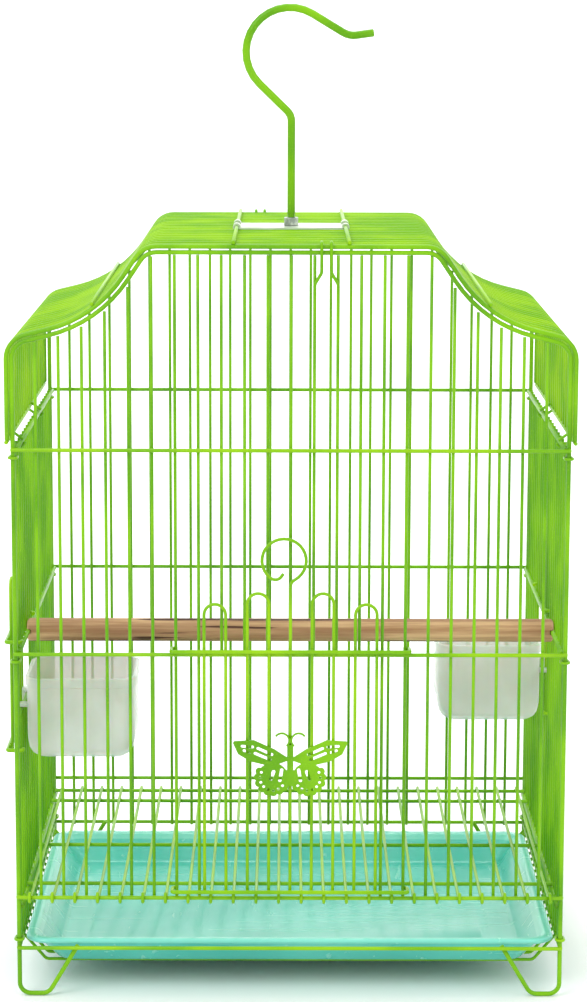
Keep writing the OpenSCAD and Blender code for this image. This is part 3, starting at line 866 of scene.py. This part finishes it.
bm = bmesh.new()
cross_z = middle("floor_grille_cross_wires", 2)
half = cad("floor_grille_cross_wires")[1][0]
cross_ys = [back_y - back - 1.2 for back in (0, 24, 121, 198)]
for y in cross_ys:
    straight(bm, "xz", y, (-half, cross_z), (half, cross_z), RAIL)
    xs = [(i + 0.5 - SPACES_X / 2) * PX for i in range(SPACES_X)]
    collars(bm, [(x, y, cross_z + ON_RAIL / 2) for x in xs], "z")
piece("shown_floor_grille_cross_wires", bm, GREEN, ("floor_grille_cross_wires",))

# %% [markdown]
# ## The hook
# The hook is a thick rod bent four times. Its lower end is threaded, so that part is drawn
# with fine ridges by growing the ring in and out.

# %% Hook
ROD, ROD_H, HOOK_R = 4.5, 59.5, 25
hook_low = cad("hook")[0][2]
plate_top = cad("upper_nut")[0][2] - 0.1
bm = bmesh.new()
thread = 14.0
ring = bmesh.ops.create_circle(
    bm,
    cap_ends=True,
    segments=24,
    radius=ROD * 0.42 * MM,
    matrix=Matrix.Translation((0, 0, hook_low * MM)),
)["verts"]
edges = list({e for v in ring for e in v.link_edges})
at = Vector((0, 0, hook_low * MM))
up = Vector((0, 0, 1))
RIDGES = 40
for i in range(RIDGES):
    step = up * thread / RIDGES * MM
    edges = grow(bm, edges, step, 1.19 if i == 0 else (0.9 if i % 2 else 1 / 0.9), at)
    at = at + step
bmesh.ops.edgeloop_fill(bm, edges=edges)
steps = [(plate_top - hook_low + ROD_H - thread + 0.2, 8, 46)]
steps += [(22, HOOK_R, -167), (20, 12, 39), (10, 0, 0)]
form(bm, "xz", 0, steps, (0, hook_low + thread - 0.2, 90), ROD, 24)
piece("shown_hook", bm, GREEN, ("hook",))

# %% [markdown]
# ## Nuts
# A hex nut has its corners turned off at both faces. Six-sided cylinders with a bevelled rim
# are close to that.


# %% Nuts
def hex_nut(node):
    low, high = cad(node)
    bm = bmesh.new()
    centre = Vector((0, 0, (low[2] + high[2]) / 2)) * MM
    bmesh.ops.create_cone(
        bm,
        cap_ends=True,
        segments=6,
        radius1=high[0] * MM,
        radius2=high[0] * MM,
        depth=(high[2] - low[2]) * MM,
        matrix=Matrix.Translation(centre),
    )
    caps = [f for f in bm.faces if abs(f.normal.z) > 0.9]
    bmesh.ops.inset_region(bm, faces=caps, thickness=0.6 * MM, depth=0)
    rims = [e for e in bm.edges if any(abs(f.normal.z) < 0.1 for f in e.link_faces)]
    rims = [e for e in rims if abs((e.verts[0].co - e.verts[1].co).z) < 1e-7]
    bmesh.ops.bevel(
        bm, geom=rims, offset=0.35 * MM, segments=2, profile=0.5, affect="EDGES", material=-1
    )
    return piece("shown_" + node, bm, ZINC, (node,), sharp=25)


hex_nut("upper_nut")
hex_nut("lower_nut")

# %% [markdown]
# ## Moulded shapes as a stack of rounded rectangles
# The tray and the cups are moulded, with soft corners and a rolled rim. A rounded rectangle is
# grown upwards, outwards and inwards from ring to ring, down the inside again, and closed at
# the floor, so the wall has real thickness everywhere.


# %% A moulded shell
def rounded(half_x, half_y, r, count=6):
    """Corner points of a rounded rectangle, in the same order for every size."""
    points = []
    for q, (sx, sy) in enumerate(((1, 1), (-1, 1), (-1, -1), (1, -1))):
        for i in range(count + 1):
            a = math.radians(90 * q + 90 * i / count)
            points.append(
                (sx * (half_x - r) + r * math.cos(a), sy * (half_y - r) + r * math.sin(a))
            )
    return points


def shell(centre, rings):
    """Rings are (half x, half y, corner radius, z) in mm, from the outer floor to the inner."""
    bm = bmesh.new()
    order = bm.verts.layers.int.new("order")
    cx, cy = centre
    outlines = [(rounded(*ring[:3]), ring[3]) for ring in rings]
    first, z = outlines[0]
    verts = [bm.verts.new(((cx + x) * MM, (cy + y) * MM, z * MM)) for x, y in first]
    for i, v in enumerate(verts):
        v[order] = i
    edges = [bm.edges.new((a, b)) for a, b in zip(verts, verts[1:] + verts[:1])]
    bmesh.ops.contextual_create(bm, geom=edges)
    for points, z in outlines[1:]:
        out = bmesh.ops.extrude_edge_only(bm, edges=edges)["geom"]
        for v in (g for g in out if isinstance(g, bmesh.types.BMVert)):
            x, y = points[v[order]]
            v.co = ((cx + x) * MM, (cy + y) * MM, z * MM)
        edges = ring_edges(out)
    bmesh.ops.edgeloop_fill(bm, edges=edges)
    return bm


# %% [markdown]
# ## The tray
# The rim turns outwards and down a little, to be stiff and to give fingers a hold. Inside, a
# shallow step runs round the floor.

# %% Tray
half_x, half_y = tray_high[0], (tray_high[1] - tray_low[1]) / 2
tray_mid = (tray_high[1] + tray_low[1]) / 2
z0, z1 = tray_low[2], tray_high[2]
wall = 1.8


def tray_ring(inset, z, r):
    return (half_x - inset, half_y - inset, r, z)


def on_slope(z, extra):
    return 4 + extra + TRAY_SLOPE * (1 - (z - z0) / (z1 - z0))


rings = [
    tray_ring(on_slope(z0, 1.6), z0, 7),
    tray_ring(on_slope(z0, 0.4), z0 + 0.4, 8),
    tray_ring(on_slope(z0 + 1.4, 0), z0 + 1.4, 9),
    tray_ring(on_slope(z1 - 3.4, 0), z1 - 3.4, 9),
    tray_ring(on_slope(z1 - 2.5, -0.2), z1 - 2.5, 10),
    tray_ring(0.8, z1 - 2.5, 11.5),
    tray_ring(0.1, z1 - 2.0, 12),
    tray_ring(0.0, z1 - 1.2, 12),
    tray_ring(0.4, z1 - 0.4, 12),
    tray_ring(1.2, z1, 11.5),
    tray_ring(4.4, z1, 9.5),
    tray_ring(5.3, z1 - 0.3, 9),
    tray_ring(on_slope(z1 - 1.2, wall), z1 - 1.2, 8),
    tray_ring(on_slope(z0 + wall + 1.5, wall), z0 + wall + 1.5, 8),
    tray_ring(on_slope(z0 + wall + 0.4, wall + 0.8), z0 + wall + 0.4, 7.5),
    tray_ring(on_slope(z0 + wall, wall + 2.2), z0 + wall, 7),
    tray_ring(on_slope(z0 + wall, wall + 14), z0 + wall, 6),
    tray_ring(on_slope(z0 + wall, wall + 15), z0 + wall - 0.5, 6),
]
piece("shown_tray", shell((0, tray_mid), rings), TEAL, ("tray",), sharp=50)


# %% [markdown]
# ## The cups
# A cup is the same kind of shell with a band round its mouth. Two flat hooks on the outer wall
# go over the sill.


# %% Cups
CUP_GAP, CUP_HOOK = 0.3, 1.5


def cup(side, name):
    low, high = cad(name)
    inner_x = SIDE_RAIL_X - RAIL / 2 - 0.4
    cx, cy = side * (inner_x - 30), feeder_y(side)
    z0, z1 = low[2], high[2]
    band = z1 - 5
    rings = [
        (24.0, 26.0, 6.0, z0),
        (27.0, 28.0, 8.0, z0 + 1.6),
        (29.0, 28.8, 9.0, z0 + 4.6),
        (29.8, 29.0, 9.0, z0 + 9.0),
        (30.0, 29.0, 9.0, z0 + 12.0),
        (30.0, 29.0, 9.0, band - 0.4),
        (30.9, 29.9, 9.9, band),
        (31.0, 30.0, 10.0, band + 0.6),
        (31.0, 30.0, 10.0, z1 - 0.6),
        (30.7, 29.7, 9.7, z1 - 0.1),
        (30.2, 29.2, 9.2, z1),
        (29.2, 28.2, 8.4, z1),
        (28.6, 27.6, 7.6, z1 - 0.5),
        (28.6, 27.6, 7.6, z0 + 12.0),
        (27.8, 27.6, 7.6, z0 + 6.0),
        (25.6, 26.6, 6.6, z0 + 2.8),
        (22.0, 24.0, 4.6, z0 + 1.5),
    ]
    bm = shell((cx, cy), rings)
    lip = HALF_W + BAR / 2 + CUP_GAP + CUP_HOOK
    arm_z = SILL_Z + BAR / 2 + CUP_GAP
    arms = (
        (inner_x - 0.7, lip, arm_z, arm_z + 2),
        (lip - CUP_HOOK, lip, arm_z - 5, arm_z + 1),
    )
    for s in (-1, 1):
        y = cy + s * 1.5 * PY
        for x1, x2, za, zb in arms:
            size = Matrix.Diagonal(((x2 - x1) * MM, 6 * MM, (zb - za) * MM, 1))
            place = Matrix.Translation(Vector((side * (x1 + x2) / 2, y, (za + zb) / 2)) * MM)
            block = bmesh.ops.create_cube(bm, size=1, matrix=place @ size)["verts"]
            bmesh.ops.bevel(
                bm,
                geom=list({e for v in block for e in v.link_edges}),
                offset=0.3 * MM,
                segments=2,
                profile=0.5,
                affect="EDGES",
                material=-1,
            )
    return piece("shown_" + name, bm, MILKY, (name,), sharp=50)


cup(-1, "left_cup")
cup(1, "right_cup")

# %% [markdown]
# ## CAD parts shown as they are
# The perch, the plate, the ornament and the small clips are already right in shape. They only
# need their finish, put on as a material, which leaves their meshes as they are.

# %% Finishes for the CAD parts left showing
for name, material in (
    ("perch", WOOD),
    ("hook_plate", PLATE),
    ("front_door_ornament", GREEN),
    ("roof_clips", GREEN),
    ("side_clips", GREEN),
):
    shown = frame["nodes"][name]
    shown.data.materials.clear()
    shown.data.materials.append(material)
    print(name, "gets", material.name)

# %% [markdown]
# ## Floor, light and camera
# The floor curves up behind the cage, so there is no horizon. Large soft lights and a white
# surround give the even light of a product studio, and one more light whitens the backdrop.
# The Standard view keeps the bright greens as strong as they are.

# %% Backdrop
bm = bmesh.new()
CURVE_START, CURVE_R = 2.2, 1.4
profile = [(-4, 0), (CURVE_START, 0)]
profile += [
    (CURVE_START + CURVE_R * math.sin(a), CURVE_R - CURVE_R * math.cos(a))
    for a in (math.radians(d) for d in range(9, 91, 9))
]
profile.append((CURVE_START + CURVE_R, 5))
verts = [bm.verts.new((-5, y, z - 0.0002)) for y, z in profile]
edges = [bm.edges.new(pair) for pair in zip(verts, verts[1:])]
out = bmesh.ops.extrude_edge_only(bm, edges=edges)["geom"]
moved = [g for g in out if isinstance(g, bmesh.types.BMVert)]
bmesh.ops.translate(bm, verts=moved, vec=(10, 0, 0))
bmesh.ops.recalc_face_normals(bm, faces=bm.faces)
mesh = bpy.data.meshes.new("backdrop")
bm.to_mesh(mesh)
bm.free()
mesh.shade_smooth()
paper = Finish("paper", Base_Color=(0.95, 0.95, 0.95, 1), Roughness=0.9)
mesh.materials.append(paper.material)
backdrop = bpy.data.objects.new("backdrop", mesh)
bpy.context.scene.collection.objects.link(backdrop)


# %% Lights
def soft_light(name, place, target, size, watts):
    data = bpy.data.lights.new(name, "AREA")
    data.shape, data.size, data.energy = "SQUARE", size, watts
    lamp = bpy.data.objects.new(name, data)
    lamp.location = place
    aim = (Vector(target) - Vector(place)).to_track_quat("-Z", "Y")
    lamp.rotation_euler = aim.to_euler()
    bpy.context.scene.collection.objects.link(lamp)


soft_light("key", (-1.4, -1.6, 2.0), (0, 0, 0.25), 1.2, 27)
soft_light("fill", (1.8, -1.4, 1.2), (0, 0, 0.25), 1.4, 9)
soft_light("over", (0.0, 0.3, 2.4), (0, 0, 0.2), 1.6, 12)
soft_light("wall", (0.0, 1.2, 2.6), (0, 3.4, 1.0), 2.0, 70)
world = bpy.data.worlds.new("surround")
world.use_nodes = True
world.node_tree.nodes["Background"].inputs["Color"].default_value = (1, 1, 1, 1)
world.node_tree.nodes["Background"].inputs["Strength"].default_value = 0.85
bpy.context.scene.world = world
bpy.context.scene.view_settings.view_transform = "Standard"

# %% Camera
lens = bpy.data.cameras.new("camera")
lens.lens, lens.sensor_fit, lens.sensor_height = 104.3, "VERTICAL", 36
camera = bpy.data.objects.new("camera", lens)
bpy.context.scene.collection.objects.link(camera)
pitch, yaw, roll = math.radians(9.63), -0.0028, 0.0027
turn = Matrix.Rotation(yaw, 4, "Z") @ Matrix.Rotation(math.radians(90) - pitch, 4, "X")
camera.matrix_world = (
    Matrix.Translation((-0.0029, -1.6723, 0.5418)) @ turn @ Matrix.Rotation(roll, 4, "Z")
)
bpy.context.scene.camera = camera
